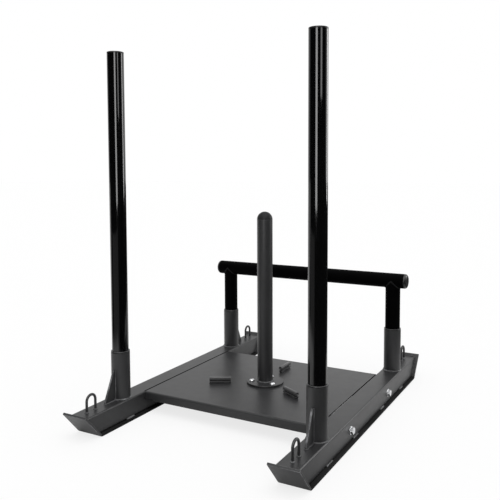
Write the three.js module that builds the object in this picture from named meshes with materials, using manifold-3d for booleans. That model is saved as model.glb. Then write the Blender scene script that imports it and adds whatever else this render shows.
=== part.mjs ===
// Push sled: two ski runners with a bolted-in deck between them, a weight post, tow eyes, and four
// sockets that hold two tall poles and one low push bar, all of which lift out.
// Frame: X across, Y along the runners with the low push bar at +Y, Z up. The origin is on the floor
// under the middle of the sled. Lengths are in millimetres and angles in radians.
import * as THREE from 'three';
import { mergeVertices } from 'three/addons/utils/BufferGeometryUtils.js';
import Module from 'manifold-3d';

const wasm = await Module();
wasm.setup();

// Driving dimensions of the whole sled
const overallLength = 1060;
const overallHeight = 1108;
const runnerSpacing = 650;
const socketInset = 200;
const towEyeInset = 69;
const pushBarLevel = 378;
const weightPostTop = 626;

// Clearances
const weldGap = 0.3;
const fitGap = 0.3;
const slideGap = 0.3;
const overrun = 5;

// Ski plate
const skiWidth = 86;
const skiThickness = 6;
const skiTipHeight = 72;
const skiTipAngle = THREE.MathUtils.degToRad(49);
const skiBendRadius = 8;

// Runner tube
const tubeWidth = 65;
const tubeHeight = 60;
const tubeWall = 3;
const tubeCorner = 5;

// Deck sheet
const deckLength = 512;
const deckThickness = 3;
const deckFlange = 26;
const deckBendRadius = 3;
const deckSeam = 0.3;

// Cross tube, its axis set in from the deck's edge, and its end plate
const crossTubeInset = 84;
const crossSize = 50;
const crossWall = 2.5;
const crossCorner = 4;
const endPlateThickness = 6;

// Socket, gusset and bush
const socketDiameter = 57;
const socketWall = 2;
const socketHeight = 142;
const gussetHeight = 91;
const gussetFoot = 45;
const gussetThickness = 6;
const gussetNose = 6;
const gussetClip = 6;
const bushCollarHeight = 4;
const bushSleeveDepth = 45;
const bushEdge = 0.8;

// Pole tube, also used for the push bar, and the plugs in its ends
const poleDiameter = 50;
const poleWall = 2;
const poleCapHeight = 4;
const poleCapEdge = 1;
const barOverhang = 50;
const barCapHeight = 9;
const barCapRound = 8;
const plugDepth = 25;

// Weight post and its flange
const postDiameter = 50;
const postWall = 3;
const postCapHeight = 25;
const postFlangeDiameter = 120;
const postFlangeThickness = 6;
const postFlangeEdge = 1;
const postBoltCircle = 86;
const postBoltCount = 3;

// Plate rest
const restLength = 70;
const restHeadWidth = 12;
const restHeadHeight = 7;
const restHeadCorner = 2;
const restWebWidth = 8;
const restHeight = 20;
const restStart = 112;

// Tow eye
const towEyeRod = 8;
const towEyeLegs = 35;
const towEyeHeight = 52;

// Frame bolt, with its washer and nut
const frameBolt = {
  diameter: 12,
  length: 90,
  acrossFlats: 18,
  headHeight: 7.5,
  nutHeight: 10,
};
const washerDiameter = 24;
const washerThickness = 2.5;

// Post flange bolt, with its nut
const postBolt = {
  diameter: 10,
  length: 25,
  headDiameter: 17.5,
  headHeight: 5.5,
  socketAcrossFlats: 6,
  socketDepth: 3,
  acrossFlats: 17,
  nutHeight: 8,
};
const hexFaceShare = 0.95;
const hexBevelAngle = THREE.MathUtils.degToRad(30);

// Fineness of round forms, in counts
const roundSides = 32;
const boltSides = 16;
const bendSteps = 3;
const domeSteps = 6;
const rodSides = 10;
const rodSteps = 18;

// Levels and places that follow from the sizes above, the insets measured from the runners' tips
const socketSpacing = overallLength - 2 * socketInset;
const towEyeSpacing = overallLength - 2 * towEyeInset;
const frameBoltSpacing = deckLength - 2 * crossTubeInset;
const runnerTop = skiThickness + weldGap + tubeHeight;
const deckUnderside = runnerTop - deckThickness;
const socketBase = runnerTop + weldGap;
const socketTop = socketBase + socketHeight;
const collarBase = socketTop + fitGap;
const crossLevel = deckUnderside - weldGap - crossSize / 2;
const runnerInnerFace = (runnerSpacing - tubeWidth) / 2;
const runnerOuterFace = (runnerSpacing + tubeWidth) / 2;
const endPlateOuter = runnerInnerFace - weldGap;
const endPlateInner = endPlateOuter - endPlateThickness;
const flangeBase = runnerTop + weldGap;
const flangeTop = flangeBase + postFlangeThickness;
const quarterTurn = Math.PI / 2;

const paint = { color: 0x3d3e40, roughness: 0.55, metalness: 0.3 };
const finishes = {
  frame: paint,
  deck: { ...paint, color: 0x4a4b4d },
  post: { ...paint, color: 0x333436 },
  gloss: { color: 0x0b0b0c, roughness: 0.18, metalness: 0.2 },
  plastic: { color: 0x161617, roughness: 0.6, metalness: 0 },
  zinc: { color: 0xd6d8da, roughness: 0.3, metalness: 0.9 },
};

const sled = new THREE.Group();

// Adds one named piece and returns its mesh, to be placed.
function piece(name, geometry, finish, parent = sled) {
  const material = new THREE.MeshStandardMaterial({ ...finishes[finish], flatShading: true });
  const mesh = new THREE.Mesh(geometry, material);
  mesh.name = name;
  parent.add(mesh);
  return mesh;
}

// Turns a closed three.js geometry into a solid for cuts and joins.
function solidOf(geometry) {
  const bare = geometry.clone();
  bare.deleteAttribute('normal');
  bare.deleteAttribute('uv');
  const merged = mergeVertices(bare);
  const vertProperties = merged.attributes.position.array;
  const triVerts = new Uint32Array(merged.index.array);
  return new wasm.Manifold(new wasm.Mesh({ numProp: 3, vertProperties, triVerts }));
}

// Turns a solid back into a three.js geometry.
function geometryOf(solid) {
  const mesh = solid.getMesh();
  const geometry = new THREE.BufferGeometry();
  geometry.setAttribute('position', new THREE.BufferAttribute(mesh.vertProperties, 3));
  geometry.setIndex(new THREE.BufferAttribute(mesh.triVerts, 1));
  return geometry;
}

// Cuts a list of geometries out of one geometry.
function cut(geometry, tools) {
  const solid = tools.reduce((rest, tool) => rest.subtract(solidOf(tool)), solidOf(geometry));
  return geometryOf(solid);
}

// Points along an arc, both ends included.
function arc(centreX, centreY, radius, start, end, steps = bendSteps) {
  return Array.from({ length: steps + 1 }, (_, step) => {
    const angle = THREE.MathUtils.lerp(start, end, step / steps);
    return new THREE.Vector2(centreX + radius * Math.cos(angle), centreY + radius * Math.sin(angle));
  });
}

// Spins a profile of [radius, height] pairs, which runs up the outside, round the Z axis.
function turned(profile, sides = roundSides) {
  const points = profile.map(([radius, height]) => new THREE.Vector2(radius, height));
  return new THREE.LatheGeometry(points, sides).rotateX(quarterTurn);
}

// A plain cylinder about the Z axis, from a start height.
function rod(radius, length, start, sides = boltSides) {
  return turned([[0, start], [radius, start], [radius, start + length], [0, start + length]], sides);
}

// A round tube about the Z axis, open at both ends.
function roundTube(diameter, wall, start, end, sides = roundSides) {
  const outer = diameter / 2;
  const inner = outer - wall;
  return turned([[inner, start], [outer, start], [outer, end], [inner, end], [inner, start]], sides);
}

// A Y and Z outline drawn across X, centred on X zero.
function acrossX(shape, width) {
  const geometry = new THREE.ExtrudeGeometry(shape, { depth: width, bevelEnabled: false });
  geometry.translate(0, 0, -width / 2);
  const turn = new THREE.Matrix4().makeBasis(
    new THREE.Vector3(0, 1, 0),
    new THREE.Vector3(0, 0, 1),
    new THREE.Vector3(1, 0, 0),
  );
  return geometry.applyMatrix4(turn);
}

// An X and Z outline drawn along Y, centred on Y zero.
function alongY(shape, length) {
  const geometry = new THREE.ExtrudeGeometry(shape, { depth: length, bevelEnabled: false });
  return geometry.translate(0, 0, -length / 2).rotateX(quarterTurn);
}

// Corner points of a rectangle with rounded corners, centred on the origin.
function roundedRectangle(width, height, corner) {
  const x = width / 2 - corner;
  const y = height / 2 - corner;
  const corners = [[x, y], [-x, y], [-x, -y], [x, -y]];
  return corners.flatMap(([cx, cy], turn) =>
    arc(cx, cy, corner, turn * quarterTurn, (turn + 1) * quarterTurn));
}

// The section of a rectangular tube.
function boxSection(width, height, wall, corner) {
  const shape = new THREE.Shape(roundedRectangle(width, height, corner));
  const inner = roundedRectangle(width - 2 * wall, height - 2 * wall, corner - wall / 2);
  shape.holes.push(new THREE.Path(inner));
  return shape;
}

// A hexagonal outline.
function hexagon(acrossFlats) {
  const corner = acrossFlats / Math.sqrt(3);
  const turns = Array.from({ length: 6 }, (_, side) => side * Math.PI / 3);
  return new THREE.Shape(turns.map((turn) =>
    new THREE.Vector2(corner * Math.cos(turn), corner * Math.sin(turn))));
}

// A hexagonal block about the Z axis, standing on Z zero, with its upper corners turned off.
function hexBlock(acrossFlats, height) {
  const corner = acrossFlats / Math.sqrt(3);
  const face = acrossFlats / 2 * hexFaceShare;
  const wide = corner + overrun;
  const bevel = (wide - face) * Math.tan(hexBevelAngle);
  const block = new THREE.ExtrudeGeometry(hexagon(acrossFlats), { depth: height, bevelEnabled: false });
  const corners = [[0, -overrun], [wide, -overrun], [wide, height - bevel], [face, height], [0, height]];
  const turnedOff = turned(corners, boltSides);
  return solidOf(block).intersect(solidOf(turnedOff));
}

// Heights of the ski line above its own sole give the plate and the space that the runner tube fills.
const skiBendOuter = skiBendRadius + skiThickness;
const skiBendRise = skiBendOuter * (1 - Math.cos(skiTipAngle));
const skiRampLength = (skiTipHeight - skiBendRise) / Math.sin(skiTipAngle);
const skiRampRun = skiRampLength * Math.cos(skiTipAngle);
const skiBendStart = overallLength / 2 - skiRampRun - skiBendOuter * Math.sin(skiTipAngle);

// The line that runs along the ski at one depth above its sole, from the front tip to the rear tip.
function skiLine(depth) {
  const radius = skiBendOuter - depth;
  const tipY = overallLength / 2 - depth * Math.sin(skiTipAngle);
  const tipZ = skiTipHeight + depth * Math.cos(skiTipAngle);
  return [
    new THREE.Vector2(-tipY, tipZ),
    ...arc(-skiBendStart, skiBendOuter, radius, -quarterTurn - skiTipAngle, -quarterTurn),
    ...arc(skiBendStart, skiBendOuter, radius, -quarterTurn, -quarterTurn + skiTipAngle),
    new THREE.Vector2(tipY, tipZ),
  ];
}

// Bent ski plate
function skiPlate() {
  const outline = [...skiLine(0), ...skiLine(skiThickness).reverse()];
  return acrossX(new THREE.Shape(outline), skiWidth);
}

// Runner tube, its ends mitred to lie on the turned-up ends of the ski plate, drilled for the frame bolts
function runnerTube() {
  const section = boxSection(tubeWidth, tubeHeight, tubeWall, tubeCorner);
  const tube = alongY(section, overallLength).translate(0, 0, runnerTop - tubeHeight / 2);
  const space = acrossX(new THREE.Shape(skiLine(skiThickness + weldGap)), tubeWidth + overrun);
  const mitred = geometryOf(solidOf(tube).intersect(solidOf(space)));
  const drills = [-1, 1].map((end) => {
    const drill = rod(frameBolt.diameter / 2 + fitGap, tubeWidth + 2 * overrun, -tubeWidth / 2 - overrun);
    return drill.rotateY(quarterTurn).translate(0, end * frameBoltSpacing / 2, crossLevel);
  });
  return cut(mitred, drills);
}

// Deck sheet with its front and rear edges folded down
function deckPlate() {
  const edge = deckLength / 2;
  const bendOuter = deckBendRadius + deckThickness;
  const bendY = edge - bendOuter;
  const outside = [
    new THREE.Vector2(-edge, -deckFlange),
    ...arc(-bendY, -bendOuter, bendOuter, Math.PI, quarterTurn),
    ...arc(bendY, -bendOuter, bendOuter, quarterTurn, 0),
    new THREE.Vector2(edge, -deckFlange),
  ];
  const inside = [
    new THREE.Vector2(edge - deckThickness, -deckFlange),
    ...arc(bendY, -bendOuter, deckBendRadius, 0, quarterTurn),
    ...arc(-bendY, -bendOuter, deckBendRadius, quarterTurn, Math.PI),
    new THREE.Vector2(-edge + deckThickness, -deckFlange),
  ];
  const sheet = acrossX(new THREE.Shape([...outside, ...inside]), 2 * (runnerInnerFace - deckSeam));
  const drill = rod(postBolt.diameter / 2 + fitGap, deckThickness + 2 * overrun, -deckThickness - overrun);
  return cut(sheet, aroundPost(drill, postBoltCircle / 2));
}

// Copies of a geometry at the weight post's bolt places
function aroundPost(geometry, radius) {
  return Array.from({ length: postBoltCount }, (_, turn) => {
    const angle = quarterTurn + turn * 2 * Math.PI / postBoltCount;
    return geometry.clone().translate(radius * Math.cos(angle), radius * Math.sin(angle), 0);
  });
}

// Cross tube that carries the deck
function crossTube() {
  const section = boxSection(crossSize, crossSize, crossWall, crossCorner);
  return acrossX(section, 2 * (endPlateInner - weldGap));
}

// End plate of a cross tube, drilled for a frame bolt
function endPlate() {
  const outline = new THREE.Shape(roundedRectangle(crossSize, crossSize, crossCorner));
  const plate = acrossX(outline, endPlateThickness);
  const reach = endPlateThickness / 2 + overrun;
  const drill = rod(frameBolt.diameter / 2 + fitGap, 2 * reach, -reach);
  return cut(plate, [drill.rotateY(quarterTurn)]);
}

// Bush with a collar on the socket mouth and a sleeve inside it, its underside at Z zero
function socketBush() {
  const bore = poleDiameter / 2 + slideGap;
  const sleeve = socketDiameter / 2 - socketWall - fitGap;
  const collar = socketDiameter / 2;
  return turned([
    [bore, -bushSleeveDepth],
    [sleeve, -bushSleeveDepth],
    [sleeve, 0],
    [collar, 0],
    [collar, bushCollarHeight - bushEdge],
    [collar - bushEdge, bushCollarHeight],
    [bore + bushEdge, bushCollarHeight],
    [bore, bushCollarHeight - bushEdge],
    [bore, -bushSleeveDepth],
  ]);
}

// Gusset web on the +Y side of a socket, from the socket's axis and the runner's top
function gusset() {
  const back = socketDiameter / 2 + weldGap;
  const outline = [
    [back + gussetClip, 0],
    [back + gussetFoot, 0],
    [back + gussetFoot, gussetNose],
    [back + gussetNose, gussetHeight],
    [back, gussetHeight],
    [back, gussetClip],
  ];
  return acrossX(new THREE.Shape(outline.map(([y, z]) => new THREE.Vector2(y, z))), gussetThickness);
}

// Centre line of a tow eye: two legs joined by a half circle, in the Y and Z plane
class StapleCurve extends THREE.Curve {
  constructor(spacing, height) {
    super();
    this.radius = spacing / 2;
    this.leg = height - this.radius;
  }

  getPoint(share, target = new THREE.Vector3()) {
    const bend = Math.PI * this.radius;
    const whole = 2 * this.leg + bend;
    const along = share * whole;
    if (along <= this.leg) {
      return target.set(0, -this.radius, along);
    }
    if (along >= this.leg + bend) {
      return target.set(0, this.radius, whole - along);
    }
    const angle = (along - this.leg) / this.radius;
    return target.set(0, -this.radius * Math.cos(angle), this.leg + this.radius * Math.sin(angle));
  }
}

// Tow eye bent from round rod
function towEye() {
  const turns = Array.from({ length: rodSides }, (_, side) => side * 2 * Math.PI / rodSides);
  const section = new THREE.Shape(turns.map((turn) =>
    new THREE.Vector2(towEyeRod / 2 * Math.cos(turn), towEyeRod / 2 * Math.sin(turn))));
  const extrudePath = new StapleCurve(towEyeLegs, towEyeHeight - towEyeRod / 2);
  return new THREE.ExtrudeGeometry(section, { steps: rodSteps, extrudePath });
}

// Plug for a tube end: a solid stopper below Z zero and a lid above it with a rounded edge
function tubePlug(diameter, wall, lidHeight, edge) {
  const rim = diameter / 2;
  const plug = rim - wall - fitGap;
  const lid = arc(rim - edge, lidHeight - edge, edge, 0, quarterTurn).map(({ x, y }) => [x, y]);
  return turned([[0, -plugDepth], [plug, -plugDepth], [plug, 0], [rim, 0], ...lid, [0, lidHeight]]);
}

// Domed cap of the weight post: a plug below Z zero and a half oval above it
function postCap() {
  const rim = postDiameter / 2;
  const plug = rim - postWall - fitGap;
  const dome = arc(0, 0, 1, 0, quarterTurn, domeSteps).map(({ x, y }) => [rim * x, postCapHeight * y]);
  return turned([[0, -plugDepth], [plug, -plugDepth], [plug, 0], ...dome.slice(0, -1), [0, postCapHeight]]);
}

// Upright of the push bar, its top coped to the cross tube
function pushBarUpright() {
  const upright = roundTube(poleDiameter, poleWall, socketBase, pushBarLevel);
  const length = poleDiameter + 2 * overrun;
  const cope = rod(poleDiameter / 2 + weldGap, length, -length / 2, roundSides);
  return cut(upright, [cope.rotateY(quarterTurn).translate(0, 0, pushBarLevel)]);
}

// Round flange of the weight post, standing on Z zero
function postFlange() {
  const rim = postFlangeDiameter / 2;
  const disc = turned([
    [0, 0],
    [rim, 0],
    [rim, postFlangeThickness - postFlangeEdge],
    [rim - postFlangeEdge, postFlangeThickness],
    [0, postFlangeThickness],
  ]);
  const drill = rod(postBolt.diameter / 2 + fitGap, postFlangeThickness + 2 * overrun, -overrun);
  return cut(disc, aroundPost(drill, postBoltCircle / 2));
}

// Plate rest: a short rail along X, standing on Z zero, whose web carries a wider head with rounded edges
function plateRest() {
  const web = restWebWidth / 2;
  const side = restHeadWidth / 2;
  const shoulder = restHeight - restHeadHeight;
  const flat = side - restHeadCorner;
  const round = restHeight - restHeadCorner;
  const outline = [
    new THREE.Vector2(-web, 0),
    new THREE.Vector2(web, 0),
    new THREE.Vector2(web, shoulder),
    new THREE.Vector2(side, shoulder),
    ...arc(flat, round, restHeadCorner, 0, quarterTurn),
    ...arc(-flat, round, restHeadCorner, quarterTurn, Math.PI),
    new THREE.Vector2(-side, shoulder),
    new THREE.Vector2(-web, shoulder),
  ];
  return acrossX(new THREE.Shape(outline), restLength);
}

// Hexagon bolt about the Z axis, its head above Z zero and its shank below
function hexBolt({ diameter, length, acrossFlats, headHeight }) {
  const shank = rod(diameter / 2, length + headHeight / 2, -length);
  return geometryOf(hexBlock(acrossFlats, headHeight).add(solidOf(shank)));
}

// Hexagon nut about the Z axis, standing on Z zero
function hexNut({ diameter, acrossFlats, nutHeight }) {
  const bore = rod(diameter / 2 + fitGap, nutHeight + 2 * overrun, -overrun);
  return geometryOf(hexBlock(acrossFlats, nutHeight).subtract(solidOf(bore)));
}

// Button head bolt about the Z axis, its head above Z zero and its shank below
function buttonBolt({ diameter, length, headDiameter, headHeight, socketAcrossFlats, socketDepth }) {
  const rim = headDiameter / 2;
  const dome = arc(0, 0, 1, 0, quarterTurn).map(({ x, y }) => [rim * x, headHeight * y]);
  const shank = [[0, -length], [diameter / 2, -length], [diameter / 2, 0]];
  const head = turned([...shank, ...dome.slice(0, -1), [0, headHeight]], boltSides);
  const depth = socketDepth + overrun;
  const socket = new THREE.ExtrudeGeometry(hexagon(socketAcrossFlats), { depth, bevelEnabled: false });
  return cut(head, [socket.translate(0, 0, headHeight - socketDepth)]);
}

// Flat washer about the Z axis, standing on Z zero
function washer() {
  const wall = washerDiameter / 2 - frameBolt.diameter / 2 - fitGap;
  return roundTube(washerDiameter, wall, 0, washerThickness, boltSides);
}

const sides = [{ side: 'left', across: -1 }, { side: 'right', across: 1 }];
const ends = [{ end: 'front', along: -1 }, { end: 'rear', along: 1 }];

// Runners and the two tall poles, left and right
for (const { side, across } of sides) {
  const x = across * runnerSpacing / 2;
  piece(`${side}_ski_plate`, skiPlate(), 'frame').position.x = x;
  piece(`${side}_runner_tube`, runnerTube(), 'frame').position.x = x;

  const tubeEnd = overallHeight - poleCapHeight - fitGap;
  const pole = roundTube(poleDiameter, poleWall, socketBase, tubeEnd);
  piece(`${side}_tall_pole`, pole, 'gloss').position.set(x, -socketSpacing / 2, 0);
  const poleCap = tubePlug(poleDiameter, poleWall, poleCapHeight, poleCapEdge);
  const cap = piece(`${side}_tall_pole_cap`, poleCap, 'plastic');
  cap.position.set(x, -socketSpacing / 2, tubeEnd + fitGap);
}

// Sockets, gussets, bushes, tow eyes and frame bolts, one set at each corner
for (const { side, across } of sides) {
  for (const { end, along } of ends) {
    const corner = `${end}_${side}`;
    const station = new THREE.Group();
    station.position.set(across * runnerSpacing / 2, along * socketSpacing / 2, 0);
    station.rotation.z = along > 0 ? 0 : Math.PI;
    sled.add(station);

    const socket = roundTube(socketDiameter, socketWall, socketBase, socketTop);
    piece(`${corner}_socket`, socket, 'frame', station);
    piece(`${corner}_gusset`, gusset(), 'frame', station).position.z = socketBase;
    piece(`${corner}_socket_bush`, socketBush(), 'plastic', station).position.z = collarBase;

    const eye = piece(`${corner}_tow_eye`, towEye(), 'frame');
    eye.position.set(across * runnerSpacing / 2, along * towEyeSpacing / 2, runnerTop + weldGap);

    const bolting = new THREE.Group();
    bolting.position.set(0, along * frameBoltSpacing / 2, crossLevel);
    bolting.rotation.y = across * quarterTurn;
    sled.add(bolting);

    const washerBase = runnerOuterFace + fitGap;
    piece(`${corner}_frame_washer`, washer(), 'zinc', bolting).position.z = washerBase;
    const underHead = washerBase + washerThickness + fitGap;
    piece(`${corner}_frame_bolt`, hexBolt(frameBolt), 'zinc', bolting).position.z = underHead;
    const nutBase = endPlateInner - weldGap - frameBolt.nutHeight;
    piece(`${corner}_frame_nut`, hexNut(frameBolt), 'zinc', bolting).position.z = nutBase;

    const plate = piece(`${corner}_cross_tube_end_plate`, endPlate(), 'frame');
    const plateX = across * (endPlateOuter - endPlateThickness / 2);
    plate.position.set(plateX, along * frameBoltSpacing / 2, crossLevel);
  }
}

// Deck and the cross tubes under it
piece('deck_plate', deckPlate(), 'deck').position.z = runnerTop;
for (const { end, along } of ends) {
  piece(`${end}_cross_tube`, crossTube(), 'frame').position.set(0, along * frameBoltSpacing / 2, crossLevel);
}

// Low push bar in the rear sockets
const barEnd = runnerSpacing / 2 + barOverhang - barCapHeight - fitGap;
const crossBar = roundTube(poleDiameter, poleWall, -barEnd, barEnd).rotateY(quarterTurn);
piece('push_bar_cross_tube', crossBar, 'gloss').position.set(0, socketSpacing / 2, pushBarLevel);
for (const { side, across } of sides) {
  const upright = piece(`push_bar_${side}_upright`, pushBarUpright(), 'gloss');
  upright.position.set(across * runnerSpacing / 2, socketSpacing / 2, 0);
  const barCap = tubePlug(poleDiameter, poleWall, barCapHeight, barCapRound);
  const cap = piece(`push_bar_${side}_cap`, barCap, 'plastic');
  cap.position.set(across * (barEnd + fitGap), socketSpacing / 2, pushBarLevel);
  cap.rotation.y = across * quarterTurn;
}

// Weight post on its flange
const postBase = flangeTop + weldGap;
const postTubeEnd = weightPostTop - postCapHeight - fitGap;
piece('weight_post', roundTube(postDiameter, postWall, postBase, postTubeEnd), 'post');
piece('weight_post_cap', postCap(), 'post').position.z = postTubeEnd + fitGap;
piece('weight_post_flange', postFlange(), 'post').position.z = flangeBase;

// Flange bolts, their nuts and the plate rests, in three rays round the post
const rays = ['rear', 'left', 'right'];
rays.forEach((ray, turn) => {
  const spoke = new THREE.Group();
  spoke.rotation.z = quarterTurn + turn * 2 * Math.PI / postBoltCount;
  sled.add(spoke);

  const boltX = postBoltCircle / 2;
  const bolt = piece(`${ray}_post_bolt`, buttonBolt(postBolt), 'zinc', spoke);
  bolt.position.set(boltX, 0, flangeTop + fitGap);
  const nut = piece(`${ray}_post_nut`, hexNut(postBolt), 'zinc', spoke);
  nut.position.set(boltX, 0, deckUnderside - fitGap - postBolt.nutHeight);

  const rest = piece(`${ray}_plate_rest`, plateRest(), 'frame', spoke);
  rest.position.set(restStart + restLength / 2, 0, runnerTop + weldGap);
});

export default sled;
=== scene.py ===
import math

import bmesh
import bpy
from mathutils import Matrix, Vector


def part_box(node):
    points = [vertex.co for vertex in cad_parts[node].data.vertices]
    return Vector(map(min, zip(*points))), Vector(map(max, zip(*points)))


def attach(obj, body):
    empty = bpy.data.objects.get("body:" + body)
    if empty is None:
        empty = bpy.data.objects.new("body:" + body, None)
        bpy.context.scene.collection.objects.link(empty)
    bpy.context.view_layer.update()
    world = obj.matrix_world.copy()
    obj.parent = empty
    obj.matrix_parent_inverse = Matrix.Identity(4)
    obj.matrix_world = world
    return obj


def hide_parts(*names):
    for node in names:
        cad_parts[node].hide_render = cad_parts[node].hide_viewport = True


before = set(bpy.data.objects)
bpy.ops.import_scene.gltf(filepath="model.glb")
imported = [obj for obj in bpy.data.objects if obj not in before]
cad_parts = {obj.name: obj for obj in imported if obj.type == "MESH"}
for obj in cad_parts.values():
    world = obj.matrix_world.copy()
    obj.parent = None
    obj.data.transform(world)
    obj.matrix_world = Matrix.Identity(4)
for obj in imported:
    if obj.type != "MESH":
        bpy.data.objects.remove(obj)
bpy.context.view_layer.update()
MM = 0.001

# The camera stands in front of the sled and to its right, below the tops of the tall poles, and looks
# slightly down on it. The middle of the lens lies a little above the middle of the picture.
picture_size = 500
focal_length = 637.2
lens_middle_across = 252.49
lens_middle_down = 213.96
film_width = 36
camera_stand = Vector((953.5, -1809.6, 753.7)) * MM
camera_heading = math.radians(28.892)
camera_dip = math.radians(3.787)
camera_roll = math.radians(-0.213)
right_angle = math.radians(90)


def linked(name, data):
    """A new object in the scene."""
    made = bpy.data.objects.new(name, data)
    bpy.context.collection.objects.link(made)
    return made


camera = bpy.data.cameras.new("camera")
camera.sensor_width = film_width
camera.lens = film_width * focal_length / picture_size
camera.shift_x = 0.5 - lens_middle_across / picture_size
camera.shift_y = lens_middle_down / picture_size - 0.5
camera_rig = linked("camera", camera)
level = Matrix.Rotation(right_angle - camera_dip, 4, "X")
turn = Matrix.Rotation(camera_heading, 4, "Z") @ level @ Matrix.Rotation(camera_roll, 4, "Z")
camera_rig.matrix_world = Matrix.Translation(camera_stand) @ turn
bpy.context.scene.camera = camera_rig
bpy.context.scene.view_settings.view_transform = "Standard"


# The studio: a white room whose half in front of the sled is dim to reflections, as behind a lamp stand,
# with a pale floor and one soft sun from above. Three tall strip lamps draw the bright lines down the
# poles, and a wide low panel stands to the left of the camera.
class Wire:
    """An output of a node. Sums and products with wires add the Math nodes that work them out."""

    def __init__(self, recipe, node, output):
        self.recipe = recipe
        self.node = node
        self.output = output

    def __getitem__(self, output):
        return Wire(self.recipe, self.node, self.node.outputs[output])

    def maths(self, operation, first, second):
        return self.recipe.node("ShaderNodeMath", {"operation": operation}, {0: first, 1: second})

    def __add__(self, other):
        return self.maths("ADD", self, other)

    def __radd__(self, other):
        return self.maths("ADD", other, self)

    def __sub__(self, other):
        return self.maths("SUBTRACT", self, other)

    def __rsub__(self, other):
        return self.maths("SUBTRACT", other, self)

    def __mul__(self, other):
        return self.maths("MULTIPLY", self, other)

    def size(self):
        return self.maths("ABSOLUTE", self, 0)

    def larger(self, other):
        return self.maths("MAXIMUM", self, other)

    def between(self, low, high, start=0.0, end=1.0):
        """The value moved from the range low to high onto the range start to end, without overshoot."""
        return self.recipe.node("ShaderNodeMapRange", {"interpolation_type": "SMOOTHSTEP"}, {
            "Value": self, "From Min": low, "From Max": high, "To Min": start, "To Max": end})

    def part(self, axis):
        """A vector's number along one axis."""
        return self.recipe.node("ShaderNodeSeparateXYZ", {}, {0: self})[axis]

    def vector(self, operation, other=(0, 0, 0), output=1):
        """What a Vector Math node makes of a vector, as a number, or as a vector from output 0."""
        return self.recipe.node(
            "ShaderNodeVectorMath", {"operation": operation}, {0: self, 1: other}, output)


class Recipe:
    """A node tree that is written down node by node."""

    def __init__(self, tree):
        self.tree = tree
        tree.nodes.clear()

    def node(self, kind, settings=None, inputs=None, output=0):
        """Adds a node: its settings first, then the values or wires of its sockets."""
        node = self.tree.nodes.new(kind)
        for name, value in (settings or {}).items():
            setattr(node, name, value)
        for name, value in (inputs or {}).items():
            if isinstance(value, Wire):
                self.tree.links.new(value.output, node.inputs[name])
            else:
                node.inputs[name].default_value = value
        return Wire(self, node, node.outputs[output] if node.outputs else None)

    def blend(self, share, first, second):
        """A colour between two others."""
        return self.node("ShaderNodeMix", {"data_type": "RGBA"}, {0: share, 6: first, 7: second}, 2)


def new_finish(name):
    """A material, its empty recipe, and the place on the piece that its patterns follow."""
    finish = bpy.data.materials.new(name)
    finish.use_nodes = True
    recipe = Recipe(finish.node_tree)
    return finish, recipe, recipe.node("ShaderNodeTexCoord")["Object"]


def finished(finish, shader):
    """The material with this shader as its surface."""
    shader.recipe.node("ShaderNodeOutputMaterial", {}, {"Surface": shader})
    return finish


ambient_level = 0.62
dim_level = 0.03
ceiling_level = 0.9
dim_edge = (-0.34, -0.10)
camera_side = (camera_stand * Vector((1, 1, 0))).normalized()
right_side = Matrix.Rotation(right_angle, 3, "Z") @ camera_side
lamp_side = Matrix.Rotation(math.radians(30), 3, "Z") @ camera_side

world = bpy.data.worlds.new("studio")
bpy.context.scene.world = world
world.use_nodes = True
room = Recipe(world.node_tree)
rays = room.node("ShaderNodeLightPath")
outward = room.node("ShaderNodeTexCoord")["Generated"]
forward = outward.vector("DOT_PRODUCT", camera_side)
sideways = outward.vector("DOT_PRODUCT", right_side)
walls = (forward - sideways * 0.2).between(*dim_edge, 1.0, dim_level)
walls = walls * sideways.between(-0.3, 0.15, 0.78, 1.0)
mirrored = walls.larger(outward.part("Z").between(0.45, 0.85, 0.0, ceiling_level))
shown = rays["Is Glossy Ray"].larger(rays["Is Transmission Ray"])
strength = rays["Is Camera Ray"].larger(shown * mirrored)
strength = strength + (1 - rays["Is Camera Ray"].larger(shown)) * ambient_level
backdrop = room.node("ShaderNodeBackground", {}, {"Color": (1, 1, 1, 1), "Strength": strength})
room.node("ShaderNodeOutputWorld", {}, {"Surface": backdrop})

floor_reach = 40.0
floor_drop = 0.5 * MM
floor_white = 0.78
floor_mirrored = 0.1
floor_mesh = bpy.data.meshes.new("floor")
floor_mesh.from_pydata([(x * floor_reach, y * floor_reach, -floor_drop)
                        for x, y in ((-1, -1), (1, -1), (1, 1), (-1, 1))], [], [range(4)])
floor_finish, paper, place = new_finish("white_floor")
rays = paper.node("ShaderNodeLightPath")
mirrored = rays["Is Glossy Ray"].larger(rays["Is Transmission Ray"])
ahead = place.vector("DOT_PRODUCT", lamp_side).between(0.25, 0.72)
beside = place.vector("DOT_PRODUCT", right_side).between(0.7, 1.1)
far = place.vector("NORMALIZE", output=0).vector("DOT_PRODUCT", camera_side).between(*dim_edge)
far = far * place.vector("LENGTH").between(0.9, 1.6)
apart = place.vector("ABSOLUTE", output=0)
# A painted contact shadow: close round the runners and under the sled the floor is dark to mirror rays, so
# reflections in the sled see a shadow there.
painted_contact_shadow = apart.part("X").between(0.362, 0.37, 1.0, 0.0) * apart.part("X").between(0.32, 0.35, 0.6, 1.0)
painted_contact_shadow = painted_contact_shadow * apart.part("Y").between(0.46, 0.5, 1.0, 0.0)
dimmed = mirrored * ahead.larger(beside).larger(far).larger(painted_contact_shadow)
matt = paper.node("ShaderNodeBsdfDiffuse", {}, {"Color": (0.97, 0.97, 0.97, 1)})
white = paper.node("ShaderNodeEmission", {}, {
    "Color": (1, 1, 1, 1), "Strength": 1 - dimmed * (1 - dim_level)})
share = (rays["Is Camera Ray"] * floor_white).larger(mirrored * floor_mirrored).larger(dimmed)
surface = paper.node("ShaderNodeMixShader", {}, {0: share, 1: matt, 2: white})
floor_mesh.materials.append(finished(floor_finish, surface))
linked("floor", floor_mesh)

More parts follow.
